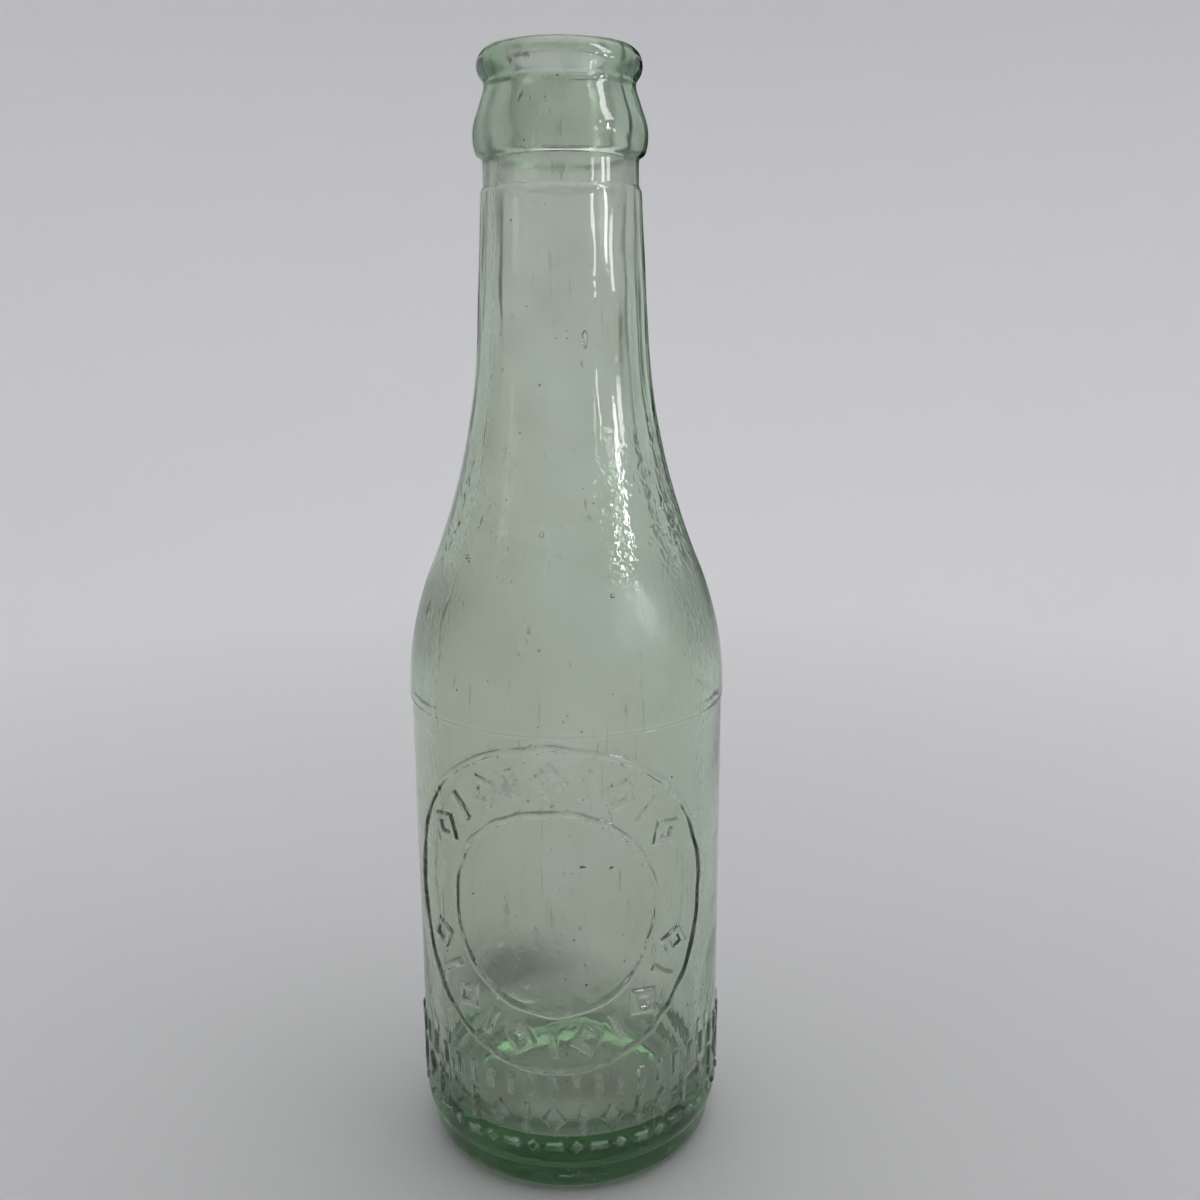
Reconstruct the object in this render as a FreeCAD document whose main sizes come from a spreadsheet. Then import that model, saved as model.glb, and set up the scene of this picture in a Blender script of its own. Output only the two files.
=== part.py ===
import FreeCAD, Part
import math
import os

import Sketcher
from FreeCAD import Placement, Rotation, Vector

# A glass soda bottle for a crown cap, standing on its bearing ring: +Z up, origin on the
# axis at the plane it stands on, badge facing -Y. Millimetres.

SHEET = "Dimensions"
DIMENSIONS = {
    # heel and base
    "base_flat_radius": 23.0,
    "base_corner_radius": 3.4,
    "base_plate_low_radius": 26.3,
    "base_plate_low_z": 3.0,
    "base_plate_radius": 26.8,
    "base_plate_z": 6.2,
    "heel_radius": 26.95,
    "heel_curve": 4.25,
    "heel_z": 8.2,
    "dome_flat_radius": 1.0,
    "push_up_radius": 19.5,
    "push_up_curve": 56.1,
    "push_up_depth": 3.5,
    # body, shoulder and neck, outside
    "body_radius": 27.45,
    "body_top_z": 84.9,
    "shoulder_radius": 27.7,
    "shoulder_z": 85.4,
    "shoulder_curve": 58.65,
    "flare_start_radius": 23.19,
    "flare_start_z": 107.54,
    "flare_curve": 117.7,
    "neck_foot_radius": 14.265,
    "neck_foot_z": 147.0,
    "neck_top_radius": 13.155,
    "neck_top_z": 169.2,
    # crown finish
    "band_radius": 12.7,
    "band_z": 169.4,
    "collar_foot_z": 174.0,
    "collar_low_radius": 13.7,
    "collar_low_z": 174.6,
    "collar_curve": 8.3,
    "collar_high_radius": 13.5,
    "collar_high_z": 180.8,
    "groove_radius": 12.2,
    "groove_z": 184.6,
    "bead_foot_z": 185.678,
    "bead_curve": 3.0,
    "lip_radius": 10.3,
    "overall_height": 191.0,
    # inside
    "bore_radius": 8.0,
    "lip_bore_curve": 2.1,
    "bore_top_z": 188.9,
    "lip_land_radius": 10.1,
    "bore_foot_z": 184.5,
    "throat_radius": 10.3,
    "throat_z": 176.0,
    "inner_neck_radius": 11.4,
    "inner_neck_z": 147.0,
    "inner_flare_radius": 20.0,
    "inner_flare_z": 106.5,
    "inner_flare_curve": 120.0,
    "inner_body_radius": 24.4,
    "inner_shoulder_z": 86.0,
    "inner_shoulder_curve": 56.0,
    "inner_heel_z": 16.0,
    "inner_heel_curve": 8.0,
    "floor_edge_radius": 17.5,
    "floor_edge_z": 8.5,
    "floor_dome_curve": 78.0,
    "floor_centre_z": 10.5,
    # relief
    "relief_height": 0.5,
    "relief_stroke": 1.2,
    "badge_circle_stroke": 0.9,
    "badge_azimuth": -4.8,
    "badge_z": 54.0,
    "badge_inner_circle": 18.1,
    "badge_outer_circle": 29.0,
    "badge_motif_circle": 23.6,
    "badge_motif_height": 6.4,
    "badge_motif_width": 5.4,
    "heel_upper_z": 22.0,
    "heel_upper_height": 4.0,
    "heel_middle_z": 15.8,
    "heel_middle_height": 5.6,
    "heel_lower_z": 10.4,
    "heel_lower_height": 4.0,
    "parting_line_height": 0.25,
    "parting_line_width": 0.5,
    "base_line_radius": 27.1,
    "seam_height": 0.2,
    "seam_width": 0.5,
    "seam_azimuth": -51.0,
}

# Each outline is a walk round half a section: a corner as (radius, height), where either may
# be the axis or the ground as 0, and after it how the next corner is reached: "line", or a
# curve's dimension and the side it bulges to, +1 away from the axis or -1 towards it.
OUTER_OUTLINE = [
    ((0, 0), "line"),
    (("base_flat_radius", 0), ("base_corner_radius", 1)),
    (("base_plate_low_radius", "base_plate_low_z"), "line"),
    (("base_plate_radius", "base_plate_z"), "line"),
    (("heel_radius", "base_plate_z"), ("heel_curve", 1)),
    (("body_radius", "heel_z"), "line"),
    (("body_radius", "body_top_z"), "line"),
    (("shoulder_radius", "shoulder_z"), ("shoulder_curve", 1)),
    (("flare_start_radius", "flare_start_z"), ("flare_curve", -1)),
    (("neck_foot_radius", "neck_foot_z"), "line"),
    (("neck_top_radius", "neck_top_z"), "line"),
    (("band_radius", "band_z"), "line"),
    (("band_radius", "collar_foot_z"), "line"),
    (("collar_low_radius", "collar_low_z"), ("collar_curve", 1)),
    (("collar_high_radius", "collar_high_z"), "line"),
    (("groove_radius", "groove_z"), "line"),
    (("groove_radius", "bead_foot_z"), ("bead_curve", 1)),
    (("lip_radius", "overall_height"), "line"),
    ((0, "overall_height"), "line"),
]
CAVITY_OUTLINE = [
    ((0, "floor_centre_z"), "line"),
    (("dome_flat_radius", "floor_centre_z"), ("floor_dome_curve", 1)),
    (("floor_edge_radius", "floor_edge_z"), ("inner_heel_curve", 1)),
    (("inner_body_radius", "inner_heel_z"), "line"),
    (("inner_body_radius", "inner_shoulder_z"), ("inner_shoulder_curve", 1)),
    (("inner_flare_radius", "inner_flare_z"), ("inner_flare_curve", -1)),
    (("inner_neck_radius", "inner_neck_z"), "line"),
    (("throat_radius", "throat_z"), "line"),
    (("bore_radius", "bore_foot_z"), "line"),
    (("bore_radius", "bore_top_z"), ("lip_bore_curve", -1)),
    (("lip_land_radius", "overall_height"), "line"),
    ((0, "overall_height"), "line"),
]
PUSH_UP_OUTLINE = [
    ((0, 0), "line"),
    (("push_up_radius", 0), ("push_up_curve", 1)),
    (("dome_flat_radius", "push_up_depth"), "line"),
    ((0, "push_up_depth"), "line"),
]
# The side seams run over this stretch of the outer outline, corner to corner.
SEAM_FIRST_CORNER = 5
SEAM_LAST_CORNER = 10

doc = FreeCAD.newDocument("soda_bottle")


def make_sheet():
    sheet = doc.addObject("Spreadsheet::Sheet", SHEET)
    for row, (alias, value) in enumerate(DIMENSIONS.items(), start=1):
        sheet.set(f"A{row}", alias)
        sheet.set(f"B{row}", str(value))
        sheet.setAlias(f"B{row}", alias)
    doc.recompute()
    return sheet


sheet = make_sheet()


def dim(alias):
    """A dimension's value, or 0 for the axis and the ground."""
    return float(getattr(sheet, alias)) if alias else 0.0


def corner_point(corner):
    """A corner of an outline in its sketch's own plane."""
    return Vector(dim(corner[0]), dim(corner[1]), 0)


def curve_middle(start, end, radius, side):
    """The middle of the arc of that radius between two corners, bulging to one side."""
    chord = end - start
    half = chord.Length / 2
    sagitta = radius - math.sqrt(radius ** 2 - half ** 2)
    across = Vector(chord.y, -chord.x, 0).normalize()
    if across.x * side < 0:
        across = -across
    return (start + end) * 0.5 + across * sagitta


def outline_edge(start, end, way):
    """The line from one corner of an outline to the next, or the arc, which runs anticlockwise."""
    if way == "line":
        return Part.LineSegment(start, end)
    alias, side = way
    middle = curve_middle(start, end, dim(alias), side)
    if (middle - start).cross(end - middle).z < 0:
        start, end = end, start
    return Part.Arc(start, middle, end)


def origin_plane(body, role):
    """One of a body's own origin planes."""
    return next(f for f in body.Origin.OriginFeatures if f.Role == role)


def end_places(geometry, start):
    """Which ends of a sketch edge lie at its first and last corner: an arc may be turned."""
    if geometry.StartPoint.distanceToPoint(start) < 1e-6:
        return 1, 2
    return 2, 1


def pin_corner(sketch, edge, place, corner):
    """Hold a corner at its radius and height, both read from the sheet."""
    axes = ((corner[0], "DistanceX", -2), (corner[1], "DistanceY", -1))
    for alias, kind, axis in axes:
        if not alias:
            sketch.addConstraint(Sketcher.Constraint("PointOnObject", edge, place, axis))
            continue
        index = sketch.addConstraint(Sketcher.Constraint(kind, -1, 1, edge, place, dim(alias)))
        sketch.setExpression(f"Constraints[{index}]", f"{SHEET}.{alias}")


def outline_sketch(body, name, outline):
    """A closed sketch of an outline on the body's XZ plane, every corner and curve bound."""
    sketch = body.newObject("Sketcher::SketchObject", name)
    sketch.AttachmentSupport = [(origin_plane(body, "XZ_Plane"), "")]
    sketch.MapMode = "FlatFace"
    ends = []
    for index, (corner, way) in enumerate(outline):
        start = corner_point(corner)
        end = corner_point(outline[(index + 1) % len(outline)][0])
        sketch.addGeometry(outline_edge(start, end, way), False)
        ends.append(end_places(sketch.Geometry[index], start))
    for index, (corner, way) in enumerate(outline):
        following = (index + 1) % len(outline)
        joint = Sketcher.Constraint("Coincident", index, ends[index][1], following, ends[following][0])
        sketch.addConstraint(joint)
        pin_corner(sketch, index, ends[index][0], corner)
        if way != "line":
            radius = sketch.addConstraint(Sketcher.Constraint("Radius", index, dim(way[0])))
            sketch.setExpression(f"Constraints[{radius}]", f"{SHEET}.{way[0]}")
    doc.recompute()
    return sketch


def turned_feature(body, kind, name, outline):
    """A full turn of an outline about the bottle's axis, added to the body or cut from it."""
    sketch = outline_sketch(body, name + "_sketch", outline)
    feature = body.newObject(kind, name)
    feature.Profile = sketch
    feature.ReferenceAxis = (sketch, ["V_Axis"])
    feature.Angle = 360
    doc.recompute()
    return feature


def make_bottle_glass():
    """The bottle itself: a turned blank with the inside and the push-up taken out of it."""
    body = doc.addObject("PartDesign::Body", "bottle_glass")
    body.Label = "bottle_glass"
    blank = turned_feature(body, "PartDesign::Revolution", "blank", OUTER_OUTLINE)
    cavity = turned_feature(body, "PartDesign::Groove", "cavity", CAVITY_OUTLINE)
    push_up = turned_feature(body, "PartDesign::Groove", "push_up", PUSH_UP_OUTLINE)
    capacity = blank.Shape.Volume - cavity.Shape.Volume
    hollow = cavity.Shape.Volume - push_up.Shape.Volume
    if capacity < 100000 or hollow < 1000:
        raise RuntimeError(f"a groove cut nothing: {capacity:.0f} and {hollow:.0f} cubic mm")
    print(f"brimful capacity {capacity / 1000:.1f} ml, glass {push_up.Shape.Volume / 1000:.1f} ml")
    return body


def cylinder(name, radius, height, foot=None):
    """A cylinder on the axis, its sizes given as expressions over the sheet."""
    drum = doc.addObject("Part::Cylinder", name)
    drum.setExpression("Radius", radius)
    drum.setExpression("Height", height)
    if foot:
        drum.setExpression("Placement.Base.z", foot)
    return drum


def boolean(kind, name, base, tool):
    """A named boolean of two objects, which takes them in."""
    result = doc.addObject(kind, name)
    result.Base = base
    result.Tool = tool
    result.Label = name
    return result


def relief_skin(name):
    """The thin sleeve round the body that all raised marks are cut from."""
    height = f"{SHEET}.body_top_z"
    outer = cylinder(name + "_outer", f"{SHEET}.body_radius + {SHEET}.relief_height", height)
    inner = cylinder(name + "_inner", f"{SHEET}.body_radius", height)
    return boolean("Part::Cut", name + "_skin", outer, inner)


def wrapped(around, height):
    """A point given along the wrapped surface, seen straight on: the front faces -Y."""
    radius = dim("body_radius")
    return Vector(radius * math.sin(around / radius), 0, height)


def wrapped_arc(circle, quarter):
    """A quarter of a true circle on the wrapped surface, seen straight on, and its two ends."""
    steps = 8
    points = []
    for step in range(steps + 1):
        turn = math.pi / 2 * (quarter + step / steps)
        points.append(wrapped(circle * math.cos(turn), dim("badge_z") + circle * math.sin(turn)))
    curve = Part.BSplineCurve()
    curve.interpolate(points)
    return curve.toShape(), points[0], points[-1]


def ring_quarter(circle, quarter):
    """A quarter of the flat face of a badge ring."""
    half = dim("badge_circle_stroke") / 2
    outer, outer_start, outer_end = wrapped_arc(circle + half, quarter)
    inner, inner_start, inner_end = wrapped_arc(circle - half, quarter)
    leading = Part.LineSegment(outer_end, inner_end).toShape()
    trailing = Part.LineSegment(inner_start, outer_start).toShape()
    return Part.Face(Part.Wire([outer, leading, inner, trailing]))


def polygon_face(corners, place):
    """A flat face from (across, up) corners, each taken through place onto the surface."""
    points = [place(across, up) for across, up in corners]
    return Part.Face(Part.makePolygon(points + points[:1]))


def lozenge(width, height):
    return [(width / 2, 0), (0, height / 2), (-width / 2, 0), (0, -height / 2)]


def bar(width, height):
    right, top = width / 2, height / 2
    return [(right, -top), (right, top), (-right, top), (-right, -top)]


def open_lozenge_face(width, height, stroke, place):
    """A lozenge drawn as one raised stroke, its middle left open."""
    diagonal = math.hypot(width, height)
    inset = 2 * stroke * diagonal / height
    small_width = width - inset
    small_height = height * small_width / width
    outline = polygon_face(lozenge(width, height), place)
    hole = polygon_face(lozenge(small_width, small_height), place)
    return [outline.cut(hole).Faces[0]]


def push_out(faces):
    """Prisms from the middle of the bottle straight out through its front."""
    reach = dim("body_radius") + 2 * dim("relief_height")
    return Part.Compound([face.extrude(Vector(0, -reach, 0)) for face in faces])


def raised_marks(name, prisms, azimuth=None):
    """A sub-part made of what the prisms cut from the sleeve round the body."""
    blank = doc.addObject("Part::Feature", name + "_prisms")
    blank.Shape = prisms
    marks = boolean("Part::Common", name, blank, relief_skin(name))
    if azimuth:
        marks.Placement = Placement(Vector(0, 0, 0), Rotation(Vector(0, 0, 1), dim(azimuth)))
        marks.setExpression("Placement.Rotation.Angle", f"{SHEET}.{azimuth} * 1 deg")
    return marks


def make_badge_ring(name, circle):
    """A raised round line of the badge."""
    quarters = push_out([ring_quarter(dim(circle), quarter) for quarter in range(4)]).Solids
    return raised_marks(name, quarters[0].multiFuse(quarters[1:]), "badge_azimuth")


def badge_place(clock, upright):
    """Where a motif at that clock angle sits, turned to stand on the badge's circle."""
    turn = math.radians(clock)
    circle = dim("badge_motif_circle")

    def place(across, up):
        out = circle + up * upright
        along = across * upright
        around = out * math.sin(turn) + along * math.cos(turn)
        rise = out * math.cos(turn) - along * math.sin(turn)
        return wrapped(around, dim("badge_z") + rise)

    return place


def make_badge_border(name, middle_clock, count, pitch, upright):
    """An arc of open lozenges between the badge's circles, with an upright bar between each."""
    width = dim("badge_motif_width")
    height = dim("badge_motif_height")
    faces = []
    for index in range(count):
        clock = middle_clock + (index - (count - 1) / 2) * pitch
        place = badge_place(clock, upright)
        if index % 2 == 0:
            faces += open_lozenge_face(width, height, dim("relief_stroke"), place)
        else:
            faces.append(polygon_face(bar(dim("relief_stroke"), height * 0.8), place))
    return raised_marks(name, push_out(faces), "badge_azimuth")


def make_heel_band(name, middle, height, count, pitch, motifs):
    """A row of small raised marks round the heel's front and sides, the motifs taken in turn."""
    def place(across, up):
        return wrapped(across, dim(middle) + up)

    prisms = []
    for index in range(count):
        corners = motifs[index % len(motifs)](dim(height))
        prism = push_out([polygon_face(corners, place)])
        azimuth = dim("badge_azimuth") + (index - (count - 1) / 2) * pitch
        prism.rotate(Vector(0, 0, 0), Vector(0, 0, 1), azimuth)
        prisms.append(prism)
    return raised_marks(name, Part.Compound(prisms))


def make_parting_line(name, inner, outer, foot):
    """A thin raised ring left round the bottle where two parts of its mould met."""
    width = f"{SHEET}.parting_line_width"
    rim = cylinder(name + "_rim", outer, width, foot)
    core = cylinder(name + "_core", inner, width, foot)
    return boolean("Part::Cut", name, rim, core)


def make_side_seams(others):
    """Thin upright ribs on opposite sides, where the mould's two halves met."""
    stretch = OUTER_OUTLINE[SEAM_FIRST_CORNER:SEAM_LAST_CORNER + 1]
    points = [Vector(dim(corner[0]), 0, dim(corner[1])) for corner, way in stretch]
    edges = []
    for index, (corner, way) in enumerate(stretch[:-1]):
        start = corner_point(corner)
        end = corner_point(stretch[index + 1][0])
        edges.append(outline_edge(start, end, way).toShape())
    line = Part.Wire(edges)
    line.rotate(Vector(0, 0, 0), Vector(1, 0, 0), 90)
    band = Part.Face(line.makeOffset2D(dim("seam_height"), 0, False, False, False).Wires[0])
    band.translate(Vector(0, -dim("seam_width") / 2, 0))
    rib = band.extrude(Vector(0, dim("seam_width"), 0))
    rib.rotate(Vector(0, 0, 0), Vector(0, 0, 1), -90)
    opposite = rib.copy()
    opposite.rotate(Vector(0, 0, 0), Vector(0, 0, 1), 180)
    ribs = doc.addObject("Part::Feature", "side_seam_ribs")
    ribs.Shape = Part.Compound([rib, opposite])
    ribs.Placement = Placement(Vector(0, 0, 0), Rotation(Vector(0, 0, 1), dim("seam_azimuth")))
    ribs.setExpression("Placement.Rotation.Angle", f"{SHEET}.seam_azimuth * 1 deg")
    cutter = doc.addObject("Part::Compound", "side_seam_cutter")
    cutter.Links = others
    return boolean("Part::Cut", "side_mould_seams", ribs, cutter)


def make_base_line(glass):
    """The base plate's parting line, which follows the curve of the heel."""
    blank = cylinder("base_line_blank", f"{SHEET}.base_line_radius", f"{SHEET}.parting_line_width",
                     f"{SHEET}.base_plate_z - {SHEET}.parting_line_width")
    core = cylinder("base_line_core", f"{SHEET}.base_plate_radius - 1", f"{SHEET}.parting_line_width",
                    f"{SHEET}.base_plate_z - {SHEET}.parting_line_width")
    ring = boolean("Part::Cut", "base_line_ring", blank, core)
    return boolean("Part::Cut", "base_plate_parting_line", ring, glass)


def short_bar(height):
    return bar(dim("relief_stroke"), height)


def small_lozenge(height):
    return lozenge(height * 0.7, height)


def stud(height):
    return lozenge(height * 0.5, height * 0.5)


def dash(height):
    return bar(height * 0.7, dim("relief_stroke"))


def build():
    """Every sub-part of the bottle, in the order they are handed on."""
    glass = make_bottle_glass()
    parts = [
        make_badge_ring("badge_outer_ring", "badge_outer_circle"),
        make_badge_ring("badge_inner_ring", "badge_inner_circle"),
        make_badge_border("badge_upper_border", 0, 9, 14.5, 1),
        make_badge_border("badge_lower_border", 180, 11, 14.0, -1),
        make_heel_band("heel_band_upper", "heel_upper_z", "heel_upper_height", 27, 8.0, [short_bar]),
        make_heel_band("heel_band_middle", "heel_middle_z", "heel_middle_height", 21, 10.4,
                       [small_lozenge, short_bar]),
        make_heel_band("heel_band_lower", "heel_lower_z", "heel_lower_height", 27, 8.0, [stud, dash]),
        make_parting_line("shoulder_parting_line", f"{SHEET}.body_radius",
                          f"{SHEET}.body_radius + {SHEET}.parting_line_height",
                          f"{SHEET}.body_top_z - {SHEET}.parting_line_width"),
        make_parting_line("neck_ring_parting_line", f"{SHEET}.band_radius",
                          f"{SHEET}.neck_top_radius + {SHEET}.parting_line_height", f"{SHEET}.band_z"),
        make_base_line(glass),
    ]
    seams = make_side_seams([glass] + parts)
    return [glass] + parts + [seams]


def check(parts):
    """Stop before anything is written if any object failed or any sub-part is empty."""
    for item in doc.Objects:
        if {"Invalid", "Error"} & set(item.State):
            raise RuntimeError(f"{item.Label} did not recompute: {item.State}")
    for item in parts:
        if item.Shape.isNull() or not item.Shape.isValid() or not item.Shape.Solids:
            raise RuntimeError(f"{item.Label} has no valid solid")


parts = build()
doc.recompute()
check(parts)
os.makedirs("parts", exist_ok=True)
for item in parts:
    item.Shape.exportStep(f"parts/{item.Label}.step")
    box = item.Shape.BoundBox
    print(f"{item.Label}: {len(item.Shape.Solids)} solids, {item.Shape.Volume:.1f} cubic mm,"
          f" z {box.ZMin:.2f} to {box.ZMax:.2f}")
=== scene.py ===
import math

import bpy
import numpy as np
from mathutils import Matrix, Vector


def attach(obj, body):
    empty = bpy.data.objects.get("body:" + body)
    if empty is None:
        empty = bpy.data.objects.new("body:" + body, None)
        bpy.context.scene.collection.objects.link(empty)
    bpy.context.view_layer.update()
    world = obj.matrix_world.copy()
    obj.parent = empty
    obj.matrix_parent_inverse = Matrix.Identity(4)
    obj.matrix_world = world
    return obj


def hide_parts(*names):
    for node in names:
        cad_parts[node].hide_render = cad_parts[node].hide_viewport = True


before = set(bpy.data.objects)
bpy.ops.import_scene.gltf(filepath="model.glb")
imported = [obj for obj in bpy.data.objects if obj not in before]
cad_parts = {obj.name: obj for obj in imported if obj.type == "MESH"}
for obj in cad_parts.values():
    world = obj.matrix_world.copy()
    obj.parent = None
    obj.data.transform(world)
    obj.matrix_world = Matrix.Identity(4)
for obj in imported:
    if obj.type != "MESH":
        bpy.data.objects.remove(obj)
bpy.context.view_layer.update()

# ---------------------------------------------------------------------------------------
# The bottle's driving sizes, in millimetres and degrees. Azimuth 0 is the front (-Y), and
# it grows towards +X. The outline repeats the CAD outline, corner by corner.
# ---------------------------------------------------------------------------------------
MM = 0.001
GLASS_NODE = "bottle_glass"
RELIEF_NODES = [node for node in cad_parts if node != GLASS_NODE]

BODY_RADIUS = 27.45
BODY_TOP_Z = 84.9
BASE_PLATE_Z = 6.2
BAND_Z = 169.4
LIP_TOP_Z = 191.0

# Each entry is a corner (radius, height) and the curve that leads to the next one: None for a
# straight run, or (radius, side), side +1 bulging away from the axis and -1 towards it.
OUTLINE = [
    ((0.0, 3.5), (56.1, 1)),
    ((19.5, 0.0), None),
    ((23.0, 0.0), (3.4, 1)),
    ((26.3, 3.0), None),
    ((26.8, BASE_PLATE_Z), None),
    ((26.95, BASE_PLATE_Z), (4.25, 1)),
    ((BODY_RADIUS, 8.2), None),
    ((BODY_RADIUS, BODY_TOP_Z), None),
    ((27.7, 85.4), (58.65, 1)),
    ((23.19, 107.54), (117.7, -1)),
    ((14.265, 147.0), None),
    ((13.155, 169.2), None),
    ((12.7, BAND_Z), None),
    ((12.7, 174.0), None),
    ((13.7, 174.6), (8.3, 1)),
    ((13.5, 180.8), None),
    ((12.2, 184.6), None),
    ((12.2, 185.678), (3.0, 1)),
    ((10.3, LIP_TOP_Z), None),
    ((10.1, LIP_TOP_Z), (2.1, -1)),
    ((8.0, 188.9), None),
    ((8.0, 184.5), None),
    ((10.3, 176.0), None),
    ((11.4, 147.0), (120.0, -1)),
    ((20.0, 106.5), (56.0, 1)),
    ((24.4, 86.0), None),
    ((24.4, 16.0), (8.0, 1)),
    ((17.5, 8.5), (78.0, 1)),
    ((0.0, 10.5), None),
]
LIP_CORNER = 18
OUTLINE_SOFTNESS = 0.28

COLUMNS = 960
RELIEF_STEP = 0.19
EDGE_STEP = 0.14
OUTER_STEP = 0.6
INNER_STEP = 1.3

RELIEF_HEIGHT = 0.5
RELIEF_STROKE = 1.2
CIRCLE_STROKE = 0.9
RELIEF_EDGE = 0.26
RELIEF_CREST = 0.26
RELIEF_LEFT = 0.9
BADGE_AZIMUTH = -4.8
BADGE_Z = 54.0
BADGE_CIRCLES = (18.1, 29.0)
MOTIF_CIRCLE = 23.6
MOTIF_WIDTH = 5.4
MOTIF_HEIGHT = 6.4
SEAM_AZIMUTH = -51.0


# ---------------------------------------------------------------------------------------
# Outline: from the middle of the push-up, up the outside, over the lip and down the inside
# ---------------------------------------------------------------------------------------
def run_points(start, end, curve, spacing=0.04):
    """Points from one corner up to but not including the next, along a line or an arc."""
    start, end = np.array(start), np.array(end)
    chord = end - start
    length = np.hypot(*chord)
    count = max(2, int(length / spacing))
    along = np.linspace(0, 1, count, endpoint=False)[:, None]
    if curve is None:
        return start + chord * along
    radius, side = curve
    across = np.array([chord[1], -chord[0]]) / length
    if across[0] * side < 0:
        across = -across
    drop = math.sqrt(radius ** 2 - (length / 2) ** 2)
    centre = (start + end) / 2 - across * drop
    first = math.atan2(*(start - centre)[::-1])
    last = math.atan2(*(end - centre)[::-1])
    sweep = (last - first + math.pi) % (2 * math.pi) - math.pi
    angle = first + sweep * along[:, 0]
    return centre + radius * np.column_stack([np.cos(angle), np.sin(angle)])


def soften(values, sigma):
    """Gaussian smoothing of a run of values whose ends are mirrored and stay put."""
    reach = int(4 * sigma)
    kernel = np.exp(-0.5 * (np.arange(-reach, reach + 1) / sigma) ** 2)
    kernel /= kernel.sum()
    padded = np.concatenate([
        2 * values[0] - values[reach:0:-1], values, 2 * values[-1] - values[-2:-reach - 2:-1]])
    return np.convolve(padded, kernel, mode="valid")


def step_at(radius, height, outside):
    """How far apart rows may be there: close over raised marks and steps, wide elsewhere."""
    if not outside:
        return 0.35 if height > 186 else INNER_STEP
    if radius < 22.5 and height < 5:
        return 1.0
    for edge in (BASE_PLATE_Z, BODY_TOP_Z + 0.2, BAND_Z, 174.2):
        if abs(height - edge) < 0.9:
            return EDGE_STEP
    if height < BODY_TOP_Z:
        return RELIEF_STEP
    return 0.3 if height > 183 else OUTER_STEP


def make_outline():
    """Rows of the bottle's skin: radius, height, normal, and whether each is outside."""
    runs = []
    lip_index = 0
    for index, (corner, curve) in enumerate(OUTLINE[:-1]):
        runs.append(run_points(corner, OUTLINE[index + 1][0], curve))
        if index < LIP_CORNER:
            lip_index += len(runs[-1])
    fine = np.vstack(runs + [np.array([OUTLINE[-1][0]])])
    spacing = np.hypot(*np.diff(fine, axis=0).T).mean()
    fine[:, 0] = soften(fine[:, 0], OUTLINE_SOFTNESS / spacing)
    fine[:, 1] = soften(fine[:, 1], OUTLINE_SOFTNESS / spacing)
    walked = np.concatenate([[0], np.cumsum(np.hypot(*np.diff(fine, axis=0).T))])
    picks = []
    travelled = 0.0
    while travelled < walked[-1]:
        picks.append(travelled)
        near = min(int(np.searchsorted(walked, travelled)), len(fine) - 1)
        travelled += step_at(fine[near, 0], fine[near, 1], near <= lip_index)
    picks = np.array(picks[1:])
    radius = np.interp(picks, walked, fine[:, 0])
    height = np.interp(picks, walked, fine[:, 1])
    ahead = picks + 0.05
    behind = picks - 0.05
    run = np.interp(ahead, walked, fine[:, 0]) - np.interp(behind, walked, fine[:, 0])
    rise = np.interp(ahead, walked, fine[:, 1]) - np.interp(behind, walked, fine[:, 1])
    size = np.hypot(run, rise)
    normal = np.column_stack([rise / size, -run / size])
    outside = picks <= walked[lip_index]
    ends = (fine[0], fine[-1])
    return radius, height, normal, outside, ends


# ---------------------------------------------------------------------------------------
# Raised marks: signed distances on the unrolled surface, negative inside a mark
# ---------------------------------------------------------------------------------------
def smooth_step(value):
    value = np.clip(value, 0, 1)
    return value * value * (3 - 2 * value)


def wrap_angle(angle):
    return (angle + math.pi) % (2 * math.pi) - math.pi


def lozenge_distance(across, up, width, height):
    slope = math.hypot(width, height)
    return (np.abs(across) * height + np.abs(up) * width - width * height / 2) / slope


def bar_distance(across, up, width, height):
    return np.maximum(np.abs(across) - width / 2, np.abs(up) - height / 2)


def open_lozenge(across, up):
    stroke = RELIEF_STROKE
    edge = lozenge_distance(across, up, MOTIF_WIDTH, MOTIF_HEIGHT)
    return np.abs(edge + stroke / 2) - stroke / 2


def badge_bar(across, up):
    return bar_distance(across, up, RELIEF_STROKE, MOTIF_HEIGHT * 0.8)


class Relief:
    """Collects raised marks over a patch of rows and columns of the skin."""

    def __init__(self, azimuth, height, warp):
        self.azimuth = azimuth
        self.height = height
        self.warp = warp
        self.distance = np.full((len(height), len(azimuth)), 9.0)

    def stamp(self, azimuth, height, half_width, half_height, shape):
        turn = wrap_angle(self.azimuth - math.radians(azimuth))
        columns = np.where(np.abs(turn) * BODY_RADIUS < half_width)[0]
        rows = np.where(np.abs(self.height - height) < half_height)[0]
        if not len(rows):
            return
        patch = np.ix_(rows, columns)
        across = turn[columns][None, :] * BODY_RADIUS + self.warp[0][patch]
        up = (self.height[rows] - height)[:, None] + self.warp[1][patch]
        self.distance[patch] = np.minimum(self.distance[patch], shape(across, up))


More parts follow.
